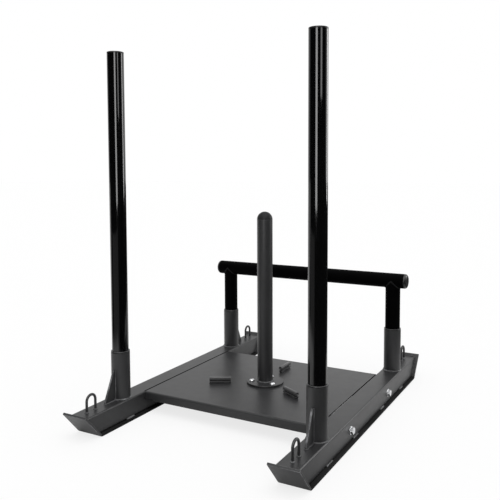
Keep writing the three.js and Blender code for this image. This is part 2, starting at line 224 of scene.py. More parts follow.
sun = bpy.data.lights.new("soft sun", "SUN")
sun.energy = 1.35
sun.angle = math.radians(60)
linked("soft sun", sun).rotation_euler = (math.radians(18), math.radians(14), 0)

# Each lamp has the X and Y of its middle, its width, its foot and its top, all in mm, and its level.
strips = {
    "strip beside camera": (400, -1600, 480, 580, 1560, 6.5),
    "strip right of sled": (1200, -890, 330, 1050, 1600, 3.4),
    "panel left of camera": (-325, -915, 970, 20, 520, 0.24),
    "strip behind sled": (1473, 1407, 350, 580, 1600, 9.0),
}
for name, (x, y, width, foot, top, level) in strips.items():
    strip = bpy.data.lights.new(name, "AREA")
    strip.shape = "RECTANGLE"
    strip.size = width * MM
    strip.size_y = (top - foot) * MM
    strip.energy = level * math.pi * strip.size * strip.size_y
    strip_rig = linked(name, strip)
    turn = Vector((-x, -y, 0)).to_track_quat("-Z", "Y").to_matrix().to_4x4()
    strip_rig.matrix_world = Matrix.Translation(Vector((x, y, (foot + top) / 2)) * MM) @ turn
    strip_rig.visible_camera = False
    strip_rig.visible_diffuse = False


# Ski plates: one 6 mm steel strip under each runner tube, flame cut, turned up at both ends in a press
# and powder coated. The sole is the wearing face: it drags on the ground and is scratched lengthwise.
deck_low, deck_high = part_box("deck_plate")
seam_shift = 1.5 * MM
# Near black for painted shade, and how far its matt layer covers the coat.
shade_black = (0.003, 0.003, 0.003, 1)
shade_cover = 0.6


def noise(place, scale, detail):
    """Cloudy noise over a piece."""
    return place.recipe.node("ShaderNodeTexNoise", {}, {"Vector": place, "Scale": scale, "Detail": detail})


def marked(recipe, name):
    """How far a piece's faces are marked with an attribute."""
    return recipe.node("ShaderNodeAttribute", {"attribute_name": name})["Fac"]


def bumped(relief, strength, depth, values):
    """A principled shader with these values and a relief as its bump."""
    bump = relief.recipe.node("ShaderNodeBump", {}, {
        "Strength": strength, "Distance": depth, "Height": relief})
    return relief.recipe.node("ShaderNodeBsdfPrincipled", {}, {**values, "Normal": bump})


def powder_coat(name, worn_sole=False, shine=0.5):
    """Dark grey satin powder coat: fine orange peel, faint clouding, edges painted lighter as rubbed paint
    and as a painted highlight, and matt near-black painted shade on the faces that are marked for it and in
    the seams beside the deck."""
    finish, coat, place = new_finish(name)
    cloud = noise(place, 7, 3)
    smudge = noise(place, 38, 4)
    peel = noise(place, 620, 1)
    grain = noise(place, 2600, 0)
    # Marked edges turn paler: partly rubbed paint, and on the gussets, ski ramps and weld beads mostly a
    # painted highlight.
    rubbed_and_highlit = marked(coat, "edge") * smudge.between(0.42, 0.68, 0.05, 0.3)
    # Painted shade: faces marked for it turn near black and matt, as if in shadow.
    painted_shade = marked(coat, "painted_shade") * cloud.between(0.2, 0.7, 1.0, 0.7)
    # Painted shade in a narrow band beside each side edge of the deck, over the runners' rounded top
    # corners, as if that joint lay in shadow.
    beside = (place.part("X") + seam_shift).size() - deck_high.x
    seam_shade = beside.between(0.6 * MM, 1.2 * MM) * beside.between(3.9 * MM, 4.9 * MM, 1.0, 0.0)
    seam_shade = seam_shade * (place.part("Y").size() - deck_high.y).between(-6 * MM, 0, 1.0, 0.0)
    shade_mask = painted_shade.larger(seam_shade)
    tone = cloud.between(0.3, 0.7, 0.0, 0.6) + grain.between(0.35, 0.75, 0.0, 0.4)
    colour = coat.blend(tone, (0.017, 0.0172, 0.018, 1), (0.027, 0.0273, 0.0285, 1))
    colour = coat.blend(rubbed_and_highlit, colour, (0.21, 0.212, 0.22, 1))
    colour = coat.blend(shade_mask, colour, shade_black)
    roughness = 0.33 + smudge * 0.08 + cloud * 0.06 + shade_mask * 0.6
    metallic = 0.0
    if worn_sole:
        stretched = coat.node("ShaderNodeMapping", {}, {"Vector": place, "Scale": (900, 14, 60)})
        drag = noise(stretched, 1, 2).between(0.50, 0.62)
        bare = place.part("Z").between(1.5 * MM, 0.2 * MM) * drag * cloud.between(0.38, 0.62, 0.35, 1.0)
        colour = coat.blend(bare, colour, (0.34, 0.335, 0.33, 1))
        roughness = roughness + bare * 0.04
        metallic = bare
    shader = bumped(peel * 0.8 + grain * 0.2, 0.35, 0.04 * MM, {
        "Base Color": colour, "Roughness": roughness, "Metallic": metallic, "Specular IOR Level": shine})
    shade_layer = coat.node("ShaderNodeBsdfPrincipled", {}, {
        "Base Color": shade_black, "Roughness": 1.0, "Specular IOR Level": 0.0})
    shader = coat.node("ShaderNodeMixShader", {}, {0: shade_mask * shade_cover, 1: shader, 2: shade_layer})
    return finished(finish, shader)


def spread(start, end, count):
    """Evenly spaced numbers from start to end, both included."""
    return [start + (end - start) * step / count for step in range(count + 1)]


def skin(loops, closed=False):
    """A shape with faces between like loops of points, its end loops filled or joined to each other.
    A loop of a single point is a tip."""
    shape = bmesh.new()
    rings = [[shape.verts.new(point) for point in loop] for loop in loops]
    joints = list(zip(rings, rings[1:]))
    if closed:
        joints.append((rings[-1], rings[0]))
    for near, far in joints:
        count = max(len(near), len(far))
        for side in range(count):
            after = (side + 1) % count
            corners = [near[side], near[after]] if len(near) > 1 else [near[0]]
            corners += [far[after], far[side]] if len(far) > 1 else [far[0]]
            shape.faces.new(corners)
    if not closed:
        for ring in (rings[0], rings[-1]):
            if len(ring) > 1:
                shape.faces.new(ring)
    bmesh.ops.recalc_face_normals(shape, faces=shape.faces)
    return shape


def soften(shape, width, where=lambda point: True, steps=3, wear_and_highlight=1):
    """Rounds the sharp edges of a shape and marks the new faces as its edges, to be painted lighter by so
    much: wear, and a painted highlight.
    """
    sharp = math.radians(30)
    mark = shape.faces.layers.float.new("edge")
    shape.normal_update()
    chosen = [edge for edge in shape.edges
              if edge.calc_face_angle(0) > sharp and all(where(vertex.co) for vertex in edge.verts)]
    rounded = bmesh.ops.bevel(shape, geom=chosen, offset=width, segments=steps, profile=0.5,
                              affect="EDGES", clamp_overlap=True)
    for face in rounded["faces"]:
        face[mark] = wear_and_highlight
    return shape


def formed(shape, name, place=Matrix()):
    """Turns a shape into an object, with its place in its mesh."""
    bmesh.ops.transform(shape, matrix=place, verts=shape.verts)
    for face in shape.faces:
        face.smooth = True
    mesh = bpy.data.meshes.new(name)
    shape.to_mesh(mesh)
    shape.free()
    return linked(name, mesh)


def fitted(made, finish, node, body="frame"):
    """Gives an object its finish and puts it in place of its node, on a body."""
    made.data.materials.clear()
    made.data.materials.append(finish)
    shading = made.modifiers.new("even shading", "WEIGHTED_NORMAL")
    shading.keep_sharp = True
    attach(made, body)
    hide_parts(node)


sides = {"left": -1, "right": 1}
ends = {"front": -1, "rear": 1}
ski_low, ski_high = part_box("right_ski_plate")
ski_width = ski_high.x - ski_low.x
runner_x = (ski_low.x + ski_high.x) / 2
ski_thickness = 6 * MM
ski_bend = 8 * MM + ski_thickness
ski_edge = 0.7 * MM
tip_angle = math.radians(49)
tip_height = ski_high.z - ski_thickness * math.cos(tip_angle)
ramp_run = (tip_height - ski_bend * (1 - math.cos(tip_angle))) / math.tan(tip_angle)
bend_start = ski_high.y - ramp_run - ski_bend * math.sin(tip_angle)
bend_steps = 24
ramp_start = bend_start + 5 * MM
# The ramps' edges are painted lighter, a painted highlight; the flat part's edges hardly.
ramp_highlight = 3
ledge_edge_lightening = 0.1


def mirrored_line(half):
    """A line of Y and Z pairs from the front to the rear, from its rear half."""
    return [(-y, z) for y, z in reversed(half)] + half


def ski_line(depth):
    """The line along the ski at a depth above its sole."""
    radius = ski_bend - depth
    half = [(bend_start + radius * math.sin(angle), ski_bend - radius * math.cos(angle))
            for angle in spread(0, tip_angle, bend_steps)]
    half.append((ski_high.y - depth * math.sin(tip_angle), tip_height + depth * math.cos(tip_angle)))
    return mirrored_line(half)


def bent_strip(outside, inside, left, right):
    """A strip between two lines of Y and Z pairs, from the left X to the right X."""
    return skin([[(left, *near), (right, *near), (right, *far), (left, *far)]
                 for near, far in zip(outside, inside)])


frame_coat = powder_coat("frame_powder_coat")
sole_coat = powder_coat("ski_powder_coat", worn_sole=True)
for side, across in sides.items():
    middle = across * runner_x
    strip = bent_strip(ski_line(0), ski_line(ski_thickness), middle - ski_width / 2, middle + ski_width / 2)
    soften(strip, ski_edge)
    mark = strip.faces.layers.float["edge"]
    painted_shade = strip.faces.layers.float.new("painted_shade")
    strip.normal_update()
    # The flat part's top ledge and cut sides are marked for painted shade, and the ramps' edges for a
    # painted highlight.
    for face in strip.faces:
        on_ramp = abs(face.calc_center_median().y) > ramp_start
        face[mark] *= ramp_highlight if on_ramp else ledge_edge_lightening
        face[painted_shade] = not on_ramp and max(face.normal.z, abs(face.normal.x)) > 0.3
    fitted(formed(strip, f"ski_plate_{side}"), sole_coat, f"{side}_ski_plate")


# Runner tubes: rectangular steel tube 65 by 60 by 3 with rolled corners, both ends mitred to the slope of
# the ski, drilled across for the two frame bolts and stitch welded to the ski plate under it.
def section(width, height, corner, steps=8):
    """Points round a rectangle with rounded corners, centred on zero."""
    points = []
    for quarter in range(4):
        angle = quarter * right_angle
        sign_u = 1 if quarter in (0, 3) else -1
        sign_v = 1 if quarter < 2 else -1
        for bend in spread(angle, angle + right_angle, steps):
            points.append((sign_u * (width / 2 - corner) + corner * math.cos(bend),
                           sign_v * (height / 2 - corner) + corner * math.sin(bend)))
    return points


def box_tube(outline, inline, loop):
    """A tube between its outer and inner outlines, whose loops at either end a function lays out."""
    return skin([loop(outline, -1), loop(outline, 1), loop(inline, 1), loop(inline, -1)], closed=True)


round_sides = 96


def ring(radius, height, count=round_sides):
    """Points round the Z axis at a height, or the one point on it."""
    if radius == 0:
        return [Vector((0, 0, height))]
    return [Vector((radius * math.cos(angle), radius * math.sin(angle), height))
            for angle in spread(0, math.tau, count)[:-1]]


def turned(profile, closed=False, count=round_sides):
    """A shape turned about the Z axis from a profile of radius and height pairs."""
    return skin([ring(radius, height, count) for radius, height in profile], closed)


def drill(made, diameter, length, holes):
    """Cuts a round hole in an object at each matrix, which puts the drill's middle and its Z axis."""
    tool_shape = bmesh.new()
    for hole in holes:
        bit = turned([(diameter / 2, -length / 2), (diameter / 2, length / 2)], count=48)
        bmesh.ops.transform(bit, matrix=hole, verts=bit.verts)
        scrap = bpy.data.meshes.new("bit")
        bit.to_mesh(scrap)
        bit.free()
        tool_shape.from_mesh(scrap)
        bpy.data.meshes.remove(scrap)
    tool = formed(tool_shape, "drill")
    cut = made.modifiers.new("drill", "BOOLEAN")
    cut.object = tool
    cut.operation = "DIFFERENCE"
    cut.solver = "EXACT"
    settle(made)
    bpy.data.objects.remove(tool)


def settle(made):
    """Turns an object's modifiers into its plain mesh."""
    graph = bpy.context.evaluated_depsgraph_get()
    mesh = bpy.data.meshes.new_from_object(made.evaluated_get(graph), depsgraph=graph)
    made.modifiers.clear()
    mesh.name = made.name
    made.data = mesh


def ski_reach(height, depth):
    """How far out the line at a depth above the sole is at a height."""
    radius = ski_bend - depth
    turn_height = ski_bend - radius * math.cos(tip_angle)
    if height < turn_height:
        return bend_start + math.sqrt(max(radius ** 2 - (ski_bend - height) ** 2, 0))
    return bend_start + radius * math.sin(tip_angle) + (height - turn_height) / math.tan(tip_angle)


tube_low, tube_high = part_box("right_runner_tube")
tube_width = tube_high.x - tube_low.x
tube_height = tube_high.z - tube_low.z
tube_middle = (tube_low.z + tube_high.z) / 2
runner_top = tube_high.z
tube_wall = 3 * MM
tube_corner = 5 * MM
tube_edge = 0.5 * MM
mitre_depth = tube_low.z
tube_outline = section(tube_width, tube_height, tube_corner)
tube_inline = section(tube_width - 2 * tube_wall, tube_height - 2 * tube_wall, tube_corner - tube_wall / 2)
bolt_low, bolt_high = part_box("rear_right_frame_bolt")
frame_bolt_y = (bolt_low.y + bolt_high.y) / 2
frame_bolt_z = (bolt_low.z + bolt_high.z) / 2
frame_hole = 12.6 * MM
turn_along_x = Matrix.Rotation(right_angle, 4, "Y")


def mitred_loop(outline, along):
    """A tube's outline at its mitred front or rear end."""
    return [(u, along * ski_reach(tube_middle + v, mitre_depth), tube_middle + v) for u, v in outline]


for side, across in sides.items():
    middle = across * runner_x
    shape = soften(box_tube(tube_outline, tube_inline, mitred_loop), tube_edge, steps=2)
    tube = formed(shape, f"runner_tube_{side}", Matrix.Translation((middle, 0, 0)))
    drill(tube, frame_hole, 2 * tube_width, [
        Matrix.Translation((middle, along * frame_bolt_y, frame_bolt_z)) @ turn_along_x
        for along in ends.values()])
    fitted(tube, frame_coat, f"{side}_runner_tube")


# Welds of the runners: a fillet bead round each mitred end, up both sides and across the top, and four
# stitches along each joint of tube and plate. The beads are coated with the frame.
def bead_recipe():
    """Geometry Nodes that lay overlapping puddles of weld along the edges of a mesh."""
    tree = bpy.data.node_groups.new("weld bead", "GeometryNodeTree")
    face = tree.interface
    face.new_socket("Path", in_out="INPUT", socket_type="NodeSocketGeometry")
    for name in ("Bead Width", "Ripple Length", "Wear And Highlight"):
        face.new_socket(name, in_out="INPUT", socket_type="NodeSocketFloat")
    face.new_socket("Seed", in_out="INPUT", socket_type="NodeSocketInt")
    face.new_socket("Finish", in_out="INPUT", socket_type="NodeSocketMaterial")
    face.new_socket("Bead", in_out="OUTPUT", socket_type="NodeSocketGeometry")
    bead = Recipe(tree)
    given = bead.node("NodeGroupInput")
    run = bead.node("GeometryNodeMeshToCurve", {}, {"Mesh": given["Path"]})
    run = bead.node("GeometryNodeResampleCurve", {"mode": "LENGTH"}, {
        "Curve": run, "Length": given["Ripple Length"]})
    puddle = bead.node("GeometryNodeMeshIcoSphere", {}, {"Radius": 0.5, "Subdivisions": 2})
    puddle = bead.node("GeometryNodeTransform", {}, {
        "Geometry": puddle, "Scale": (0.72, 1.0, 0.78), "Rotation": (0, math.radians(-24), 0)})
    facing = bead.node("GeometryNodeInputNamedAttribute", {"data_type": "FLOAT_VECTOR"}, {"Name": "facing"})
    pose = bead.node("FunctionNodeAxesToRotation", {"primary_axis": "X", "secondary_axis": "Z"}, {
        "Primary Axis": bead.node("GeometryNodeInputTangent"), "Secondary Axis": facing})
    chance = bead.node("FunctionNodeRandomValue", {"data_type": "FLOAT"}, {
        "Min": 0.93, "Max": 1.07, "Seed": given["Seed"]}, 1)
    puddles = bead.node("GeometryNodeInstanceOnPoints", {}, {
        "Points": run, "Instance": puddle, "Rotation": pose, "Scale": chance * given["Bead Width"]})
    laid = bead.node("GeometryNodeRealizeInstances", {}, {0: puddles})
    laid = bead.node("GeometryNodeSetShadeSmooth", {}, {"Geometry": laid})
    # The beads' faces are marked to be painted lighter: worn crests, and mostly a painted highlight.
    laid = bead.node("GeometryNodeStoreNamedAttribute", {"data_type": "FLOAT", "domain": "FACE"}, {
        "Geometry": laid, "Name": "edge", "Value": given["Wear And Highlight"]})
    laid = bead.node("GeometryNodeSetMaterial", {}, {"Geometry": laid, "Material": given["Finish"]})
    bead.node("NodeGroupOutput", {}, {"Bead": laid})
    return tree


bead_tree = bead_recipe()
ripple_length = 2.0 * MM
welds = []


# Weld beads are painted paler by their wear value: worn crests and a painted highlight.
def weld(name, runs, width, finish=frame_coat, body="frame", wear_and_highlight=2.4):
    """Lays a bead along each run, a list of points each with the way that the bead faces there.
    A run that ends where it starts is welded all round. Each weld's number is its seed."""
    welds.append(name)
    points, facings, edges = [], [], []
    for run in runs:
        first = len(points)
        round_run = (Vector(run[0][0]) - Vector(run[-1][0])).length < MM / 100
        kept = run[:-1] if round_run else run
        points += [point for point, facing in kept]
        facings += [number for point, facing in kept for number in Vector(facing).normalized()]
        edges += [(first + step, first + step + 1) for step in range(len(kept) - 1)]
        if round_run:
            edges.append((first + len(kept) - 1, first))
    mesh = bpy.data.meshes.new(name)
    mesh.from_pydata(points, edges, [])
    mesh.attributes.new("facing", "FLOAT_VECTOR", "POINT").data.foreach_set("vector", facings)
    made = linked(name, mesh)
    beading = made.modifiers.new("weld bead", "NODES")
    beading.node_group = bead_tree
    values = {"Bead Width": width, "Ripple Length": ripple_length, "Seed": len(welds), "Finish": finish,
              "Wear And Highlight": wear_and_highlight}
    for socket in bead_tree.interface.items_tree:
        if socket.in_out == "INPUT" and socket.name in values:
            beading[socket.identifier] = values[socket.name]
    settle(made)
    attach(made, body)


fillet_width = 6.4 * MM
stitch_length = 33 * MM
stitch_places = [place * MM for place in (-327, -130, 113, 326)]
mitre_start = 13 * MM
for side, across in sides.items():
    stitches = []
    for face in sides.values():
        x = across * runner_x + face * (tube_width / 2 + 0.4 * MM)
        for place in stitch_places:
            stitches.append([((x, place + reach, ski_thickness + 1.4 * MM), (face, 0, 1))
                             for reach in (-stitch_length / 2, stitch_length / 2)])
    mitres = []
    for along in ends.values():
        slope = Vector((0, -along * math.sin(tip_angle), math.cos(tip_angle)))
        run = []
        for face in (-1, 1):
            x = across * runner_x + face * tube_width / 2
            for z in spread(mitre_start, runner_top - tube_corner, 6)[::-face]:
                run.append(((x, along * ski_reach(z, mitre_depth), z), Vector((face, 0, 0)) + slope))
            if face < 0:
                for reach in (-1, 1):
                    x = across * runner_x + reach * (tube_width / 2 - tube_corner)
                    point = (x, along * ski_reach(runner_top, mitre_depth), runner_top)
                    run.append((point, Vector((0, 0, 1)) + slope))
        mitres.append(run)
    weld(f"runner_stitch_welds_{side}", stitches, fillet_width)
    # The mitre beads get almost no painted highlight.
    weld(f"runner_mitre_welds_{side}", mitres, fillet_width * 0.8, wear_and_highlight=0.2)


# Cross tubes: two square tubes under the deck that tie the runners together. A thick end plate is welded
# into each end, drilled for the frame bolt, with its nut welded behind it.
cross_low, cross_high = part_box("rear_cross_tube")
cross_size = cross_high.z - cross_low.z
cross_half = cross_high.x
cross_level = (cross_low.z + cross_high.z) / 2
cross_y = (cross_low.y + cross_high.y) / 2
cross_wall = 2.5 * MM
cross_corner = 4 * MM
cross_bore = cross_size - 2 * cross_wall
cross_outline = section(cross_size, cross_size, cross_corner)
cross_inline = section(cross_bore, cross_bore, cross_corner - cross_wall / 2)
end_plate_bead = 4.5 * MM


def square_loop(outline, across):
    """A cross tube's outline at its left or right end."""
    return [(across * cross_half, u, v) for u, v in outline]


for end, along in ends.items():
    shape = soften(box_tube(cross_outline, cross_inline, square_loop), tube_edge, steps=2)
    tube = formed(shape, f"cross_tube_{end}", Matrix.Translation((0, along * cross_y, cross_level)))
    fitted(tube, frame_coat, f"{end}_cross_tube")
    weld(f"end_plate_welds_{end}", [
        [((across * cross_half, along * cross_y + u, cross_level + v), (0, u, v))
         for u, v in cross_outline + cross_outline[:1]] for across in sides.values()], end_plate_bead)
    for side in sides:
        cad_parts[f"{end}_{side}_cross_tube_end_plate"].data.materials[0] = frame_coat


# Deck: a 3 mm sheet folded down at the front and rear, flush with the tops of the runners, laid on the
# cross tubes and stitch welded to them from below.
deck_sheet = 3 * MM
deck_fold = 3 * MM + deck_sheet
deck_edge = 0.2 * MM
fold_steps = 10


def round_corner(reach, height, radius, steps=8):
    """Points round the outer corner of a profile, from its side to its top."""
    return [(reach - radius + radius * math.cos(bend), height - radius + radius * math.sin(bend))
            for bend in spread(0, right_angle, steps)]


def deck_line(depth):
    """The line over the deck at a depth under its upper face, from one flange's foot to the other's."""
    fold = round_corner(deck_high.y - depth, deck_high.z - depth, deck_fold - depth, fold_steps)
    return mirrored_line(fold[::-1] + [(deck_high.y - depth, deck_low.z)])


def on_ray(angle, radius, height):
    """The matrix that stands a piece on a ray from the post's axis."""
    turn = Matrix.Rotation(math.radians(angle), 4, "Z")
    return turn @ Matrix.Translation((radius, 0, height))


rays_round_post = {"rear": 90, "left": 210, "right": 330}
screw_low, screw_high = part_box("rear_post_bolt")
bolt_circle = (screw_low.y + screw_high.y) / 2
post_hole = 10.6 * MM
drill_length = 40 * MM
deck_shape = bent_strip(deck_line(0), deck_line(deck_sheet), deck_low.x, deck_high.x)
deck = formed(soften(deck_shape, deck_edge), "deck_sheet")
drill(deck, post_hole, drill_length, [on_ray(angle, bolt_circle, deck_high.z)
                                      for angle in rays_round_post.values()])
fitted(deck, frame_coat, "deck_plate")
weld("deck_stitch_welds", [
    [((x + reach, along * cross_y + face * cross_size / 2, cross_high.z - 0.6 * MM), (0, face, -1))
     for reach in (-15 * MM, 15 * MM)]
    for along in ends.values() for face in (-1, 1) for x in (-200 * MM, 0, 200 * MM)], 5 * MM)


# Frame bolts: four M12 hexagon bolts, bright zinc plated, through the runners into the cross tubes, each
# on a flat washer. Their thread ends in a nut behind the end plate.
def zinc_plate(name):
    """Bright zinc: pale metal with soft clouding, and fine turning marks in its shine."""
    finish, plate, place = new_finish(name)
    cloud = noise(place, 160, 3)
    grit = noise(place, 1900, 2)
    colour = plate.blend(cloud.between(0.3, 0.7), (0.66, 0.67, 0.69, 1), (0.86, 0.865, 0.87, 1))
    colour = plate.blend(marked(plate, "edge") * 0.5, colour, (0.93, 0.93, 0.93, 1))
    return finished(finish, bumped(grit, 0.3, 0.02 * MM, {
        "Base Color": colour, "Roughness": 0.22 + cloud * 0.16 + grit * 0.06, "Metallic": 1.0}))


screw_sides = 48


def round_points(reach, height, count=screw_sides):
    """A ring whose reach and height are functions of the angle."""
    return [(reach(angle) * math.cos(angle), reach(angle) * math.sin(angle), height(angle))
            for angle in spread(0, math.tau, count)[:-1]]


def shank(radius, pitch, tip, thread_end, neck_end):
    """Rings up a screw: its tip, its thread and its plain neck."""
    def threaded(level):
        """A ring of the thread at a level."""
        return round_points(
            lambda angle: radius - 0.6 * pitch * abs(2 * ((level / pitch - angle / math.tau) % 1) - 1),
            lambda angle: level)

    rows = round(6 * (thread_end - tip - MM) / pitch)
    rings = [ring(0, tip), ring(radius * 0.8, tip, screw_sides)]
    rings += [threaded(level) for level in spread(tip + MM, thread_end, rows)]
    return rings + [ring(radius, thread_end + MM, screw_sides), ring(radius, neck_end, screw_sides)]


def hexagon(across_flats):
    """How far a hexagon's outline is from its middle, as a function of the angle."""
    return lambda angle: across_flats / 2 / math.cos((angle + math.pi / 6) % (math.pi / 3) - math.pi / 6)


def hexagon_sides(across_flats, low, high):
    """Rings up the sides of a hexagon whose upper corners are turned off at 30 degrees."""
    outline = hexagon(across_flats)
    face = 0.475 * across_flats
    return [
        round_points(outline, lambda angle: low),
        round_points(outline, lambda angle: high - (outline(angle) - face) * math.tan(math.pi / 6)),
        ring(face, high, screw_sides),
    ]


def hexagon_nut(across_flats, bore, low, high):
    """A hexagon nut from one height to another."""
    loops = [ring(bore, low, screw_sides), *hexagon_sides(across_flats, low, high)]
    return soften(skin(loops + [ring(bore, high, screw_sides)], closed=True), 0.3 * MM)


def round_tube(radius, wall, low, high):
    """A round tube about the Z axis, open at both ends."""
    return turned([(radius - wall, low), (radius, low), (radius, high), (radius - wall, high)], closed=True)


fit_gap = 0.3 * MM
zinc = zinc_plate("bright_zinc")
four_corners = [(f"{end}_{side}", across, along)
                for side, across in sides.items() for end, along in ends.items()]
frame_bolt_radius = 6 * MM
frame_bolt_pitch = 1.75 * MM
frame_bolt_flats = 18 * MM
frame_thread_end = bolt_low.x + 30 * MM
washer_low, washer_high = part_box("rear_right_frame_washer")
washer_rim = (washer_high.z - washer_low.z) / 2
washer_bore = frame_hole / 2
nut_low, nut_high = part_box("rear_right_frame_nut")
under_head = washer_high.x + fit_gap
for corner, across, along in four_corners:
    out = Matrix.Translation((0, along * frame_bolt_y, frame_bolt_z))
    out = out @ Matrix.Rotation(across * right_angle, 4, "Y")
    loops = shank(frame_bolt_radius, frame_bolt_pitch, bolt_low.x, frame_thread_end, under_head)
    loops += hexagon_sides(frame_bolt_flats, under_head, bolt_high.x)
    loops.append(ring(0, bolt_high.x))
    shape = soften(skin(loops), 0.35 * MM, where=lambda point: point.z > under_head - MM / 100)
    fitted(formed(shape, f"frame_bolt_{corner}", out), zinc, f"{corner}_frame_bolt")

    shape = soften(round_tube(washer_rim, washer_rim - washer_bore, washer_low.x, washer_high.x), 0.3 * MM)
    fitted(formed(shape, f"frame_washer_{corner}", out), zinc, f"{corner}_frame_washer")

    shape = hexagon_nut(frame_bolt_flats, washer_bore, nut_low.x, nut_high.x)
    fitted(formed(shape, f"frame_nut_{corner}", out), zinc, f"{corner}_frame_nut")


# Sockets: four lengths of round tube stood on the runners and welded round their feet. A clipped gusset
# braces each on the side of the runner's tip, welded up the socket, along the runner and round its nose.
socket_low, socket_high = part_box("rear_right_socket")
socket_radius = (socket_high.x - socket_low.x) / 2
socket_y = (socket_low.y + socket_high.y) / 2
socket_wall = 2 * MM
socket_edge = 0.5 * MM
gusset_low, gusset_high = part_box("rear_right_gusset")
gusset_half = (gusset_high.x - gusset_low.x) / 2
gusset_back = gusset_low.y - socket_y
gusset_toe = gusset_high.y - socket_y
gusset_nose = 6 * MM
gusset_clip = 6 * MM
gusset_highlight = 4
bead_gap = 0.5 * MM
bead_lift = 0.9 * MM


def foot_run(stand, radius, gap, height, count=round_sides):
    """The run of a weld round the foot of a round piece, this far off it and at this height."""
    around = ring(radius + gap, 0, count)
    return [(stand @ Vector((point.x, point.y, height)), stand.to_3x3() @ Vector((point.x, point.y, radius)))
            for point in around + around[:1]]


for corner, across, along in four_corners:
    stand = Matrix.Translation((across * runner_x, along * socket_y, 0))
    stand = stand @ Matrix.Rotation(0 if along > 0 else math.pi, 4, "Z")
    shape = round_tube(socket_radius, socket_wall, socket_low.z, socket_high.z)
    socket = formed(soften(shape, socket_edge, wear_and_highlight=0), f"socket_tube_{corner}", stand)
    fitted(socket, frame_coat, f"{corner}_socket")

    low, high = gusset_low.z, gusset_high.z
    outline = [(gusset_back + gusset_clip, low), (gusset_toe, low), (gusset_toe, low + gusset_nose)]
    outline += [(gusset_back + gusset_nose, high), (gusset_back, high), (gusset_back, low + gusset_clip)]
    shape = skin([[(face * gusset_half, y, z) for y, z in outline] for face in (-1, 1)])
    # The gusset's edges and its sloping front face are painted lighter: a painted highlight.
    soften(shape, 1.1 * MM, wear_and_highlight=gusset_highlight)
    mark = shape.faces.layers.float["edge"]
    shape.normal_update()
    for face in shape.faces:
        if min(face.normal.y, face.normal.z) > 0.3:
            face[mark] = gusset_highlight
    fitted(formed(shape, f"gusset_{corner}", stand), frame_coat, f"{corner}_gusset")

    run = []
    wall_y = math.sqrt(socket_radius ** 2 - gusset_half ** 2)
    for face in (-1, 1):
        steps = [(Vector((face * gusset_half, wall_y, z)), Vector((face, 1, 0)))
                 for z in spread(high - MM, low + gusset_clip, 8)]
        steps += [(Vector((face * gusset_half, y, runner_top + 0.5 * MM)), Vector((face, 0, 1)))
                  for y in spread(gusset_back + gusset_clip, gusset_toe, 4)]
        run += steps[::-face]
    web = [(stand @ point, stand.to_3x3() @ facing) for point, facing in run]
    foot = foot_run(stand, socket_radius, bead_gap, runner_top + bead_lift)
    # These beads are painted lighter by their wear value: a painted highlight along the crests, with some
    # worn paint.
    weld(f"socket_weld_{corner}", [foot], 6 * MM, wear_and_highlight=3.2)
    weld(f"gusset_weld_{corner}", [web], 4.6 * MM, wear_and_highlight=1.4)


# Socket bushes: black nylon collars on the socket mouths, each moulded with a sleeve that goes down into
# the socket and guides the pole.
def moulded_plastic(name, tone, shaded_heights=(0, 0)):
    """Black moulded plastic with a fine spark grain, and painted shade, near black, between two heights."""
    finish, plastic, place = new_finish(name)
    grain = noise(place, 1500, 2)
    height = place.part("Z")
    fade = 0.3 * MM
    painted_shade = height.between(shaded_heights[1], shaded_heights[1] - fade) * height.between(shaded_heights[0] - fade, shaded_heights[0])
    black = (tone, tone, tone, 1)
    paler = (tone * 1.6, tone * 1.6, tone * 1.65, 1)
    colour = plastic.blend(noise(place, 60, 2), black, paler)
    # Painted shade: near black in the recess between the two heights.
    colour = plastic.blend(painted_shade, colour, (0.0015, 0.0015, 0.0015, 1))
    return finished(finish, bumped(grain, 0.3, 0.03 * MM, {
        "Base Color": colour, "Roughness": 0.3 + grain * 0.12}))


bush_low, bush_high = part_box("rear_right_socket_bush")
bush_bore = 25.3 * MM
bush_sleeve = socket_radius - socket_wall - fit_gap
collar_base = socket_high.z + fit_gap
collar_lip = collar_base + 2.4 * MM
collar_neck = socket_radius - 2.6 * MM
collar_round = 1.4 * MM
# The collar's neck under its lip gets painted shade.
nylon = moulded_plastic("black_nylon", 0.04, (collar_base, collar_lip))
for corner, across, along in four_corners:
    profile = [(bush_bore, bush_low.z), (bush_sleeve, bush_low.z), (bush_sleeve, collar_base)]
    profile += [(collar_neck, collar_base), (collar_neck, collar_lip), (socket_radius, collar_lip)]
    profile += round_corner(socket_radius, bush_high.z, collar_round) + [(bush_bore, bush_high.z)]
    stand = Matrix.Translation((across * runner_x, along * socket_y, 0))
    bush = formed(soften(turned(profile, closed=True), 0.25 * MM), f"bush_{corner}", stand)
    fitted(bush, nylon, f"{corner}_socket_bush")


